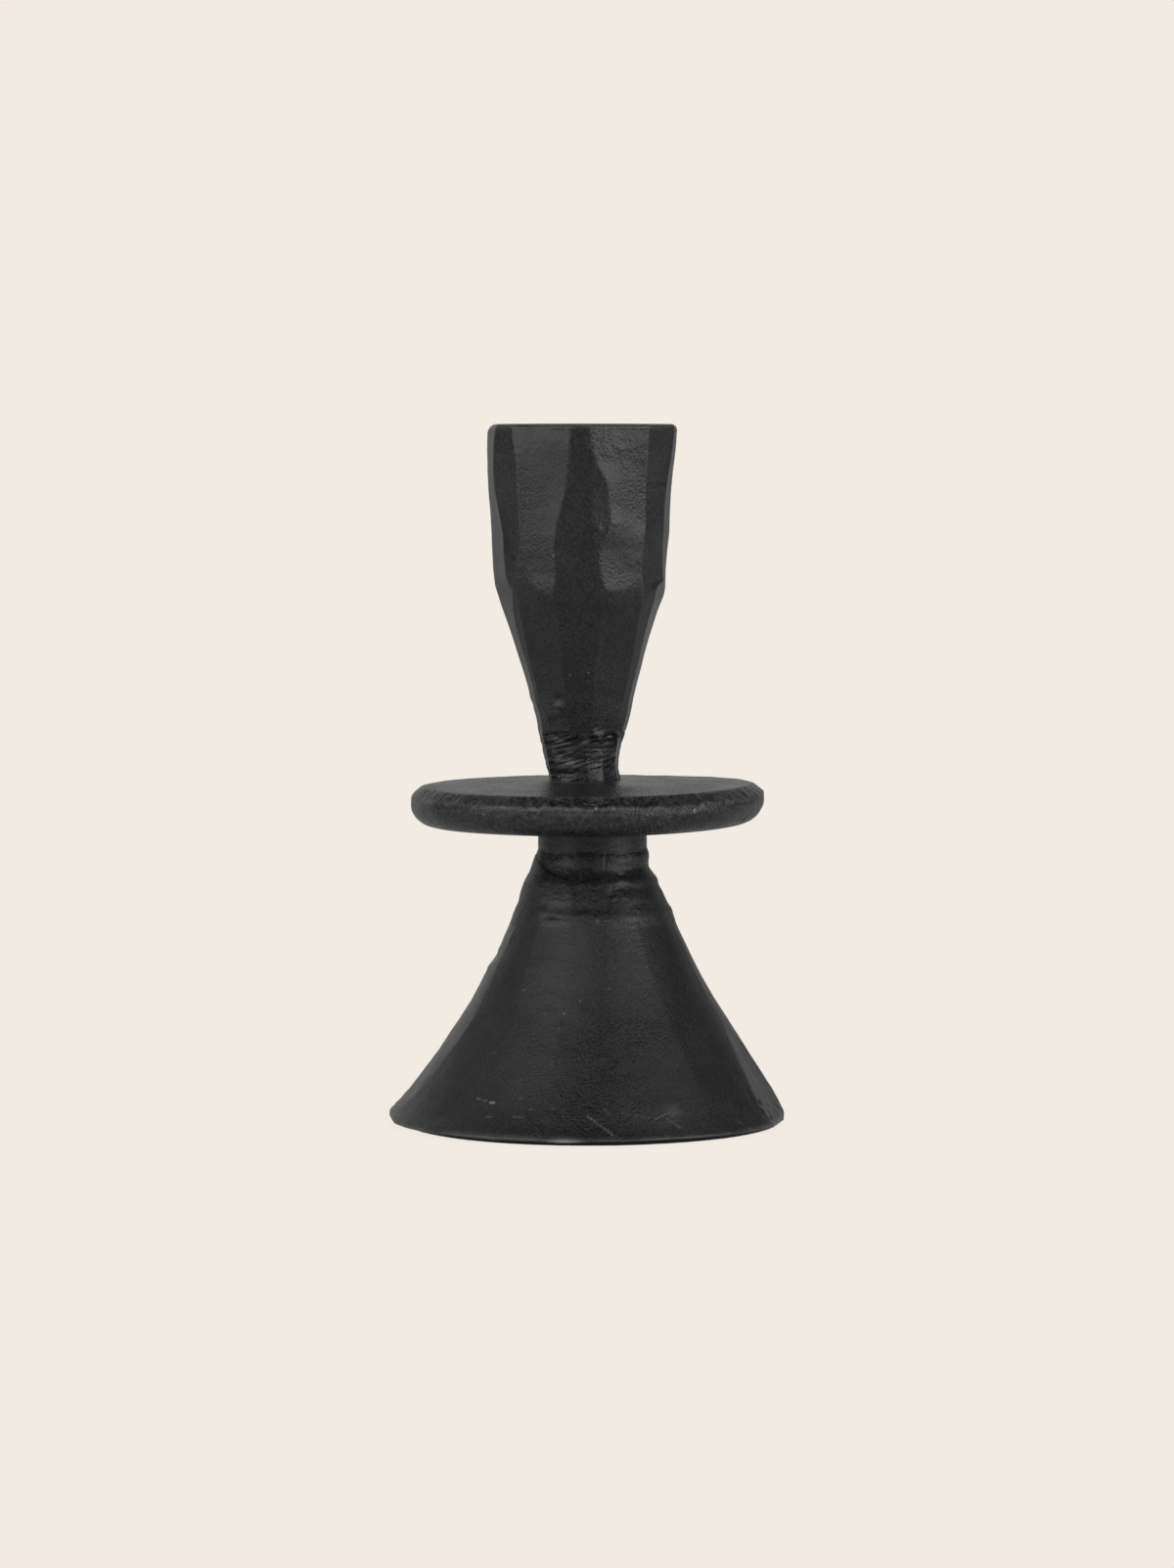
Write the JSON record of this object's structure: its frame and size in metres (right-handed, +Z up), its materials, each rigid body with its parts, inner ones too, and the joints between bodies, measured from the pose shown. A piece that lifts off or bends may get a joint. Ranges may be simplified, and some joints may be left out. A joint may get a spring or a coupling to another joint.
{
  "type": "candle holder",
  "caption": "Forged candle holder: a hammered cup with a round socket on a tapering stem, over a thick drip plate and a flared hollow foot.",
  "frame": {"origin": "on the table, under the middle of the foot's outline in the front view", "axes": "+Z up through the candle socket, -Y towards the front that the picture shows, +X to the right of that view"},
  "size_m": [0.0803, 0.0812, 0.1418],
  "materials": {
    "forged_iron": "satin",
    "weld_iron": "satin",
    "bare_steel": "satin",
    "black_felt": "matte"
  },
  "bodies": {
    "root": {"candle_cup": "forged_iron", "cup_weld": "weld_iron", "drip_plate": "forged_iron", "plate_weld": "weld_iron", "centre_dowel": "bare_steel", "neck_bar": "forged_iron", "neck_weld": "weld_iron", "foot_cone": "forged_iron", "seam_weld": "weld_iron", "bottom_plate": "bare_steel", "tack_welds": "weld_iron", "felt_pad": "black_felt"}
  },
  "joints": []
}
